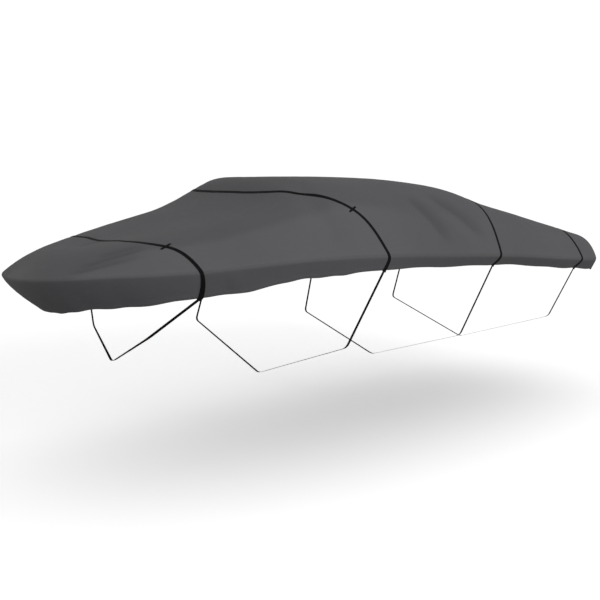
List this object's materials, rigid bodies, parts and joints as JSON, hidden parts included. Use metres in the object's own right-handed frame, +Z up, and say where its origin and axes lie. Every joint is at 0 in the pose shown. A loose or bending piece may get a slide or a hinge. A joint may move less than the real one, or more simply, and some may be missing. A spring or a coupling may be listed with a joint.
{
  "type": "boat cover",
  "caption": "Fitted cloth cover for a runabout on its trailer: a hollow charcoal shell with a pointed bow and a raised middle, drawn down by black webbing straps that pass beneath.",
  "frame": {"origin": "the point just under the middle of the crown, on the underside of the cloth, where the cover rests on what it protects", "axes": "+X aft from the bow to the stern, +Y to starboard, +Z up"},
  "size_m": [5.6008, 2.171, 1.571],
  "materials": {
    "cloth": "matt charcoal woven polyester, coated on the inside",
    "webbing": "black ribbed polypropylene webbing"
  },
  "bodies": {
    "root": {"cover": "cloth", "over_strap_bow": "webbing", "over_strap_fore": "webbing", "over_strap_aft": "webbing", "over_strap_stern": "webbing", "tab_bow_port": "webbing", "tab_bow_starboard": "webbing", "tab_fore_port": "webbing", "tab_fore_starboard": "webbing", "tab_aft_port": "webbing", "tab_aft_starboard": "webbing", "tab_stern_port": "webbing", "tab_stern_starboard": "webbing", "tie_bow": "webbing", "tie_fore": "webbing", "tie_aft": "webbing", "tie_stern": "webbing", "keeper_bow_port": "webbing", "keeper_bow_starboard": "webbing", "keeper_fore_port": "webbing", "keeper_fore_starboard": "webbing"}
  },
  "joints": []
}
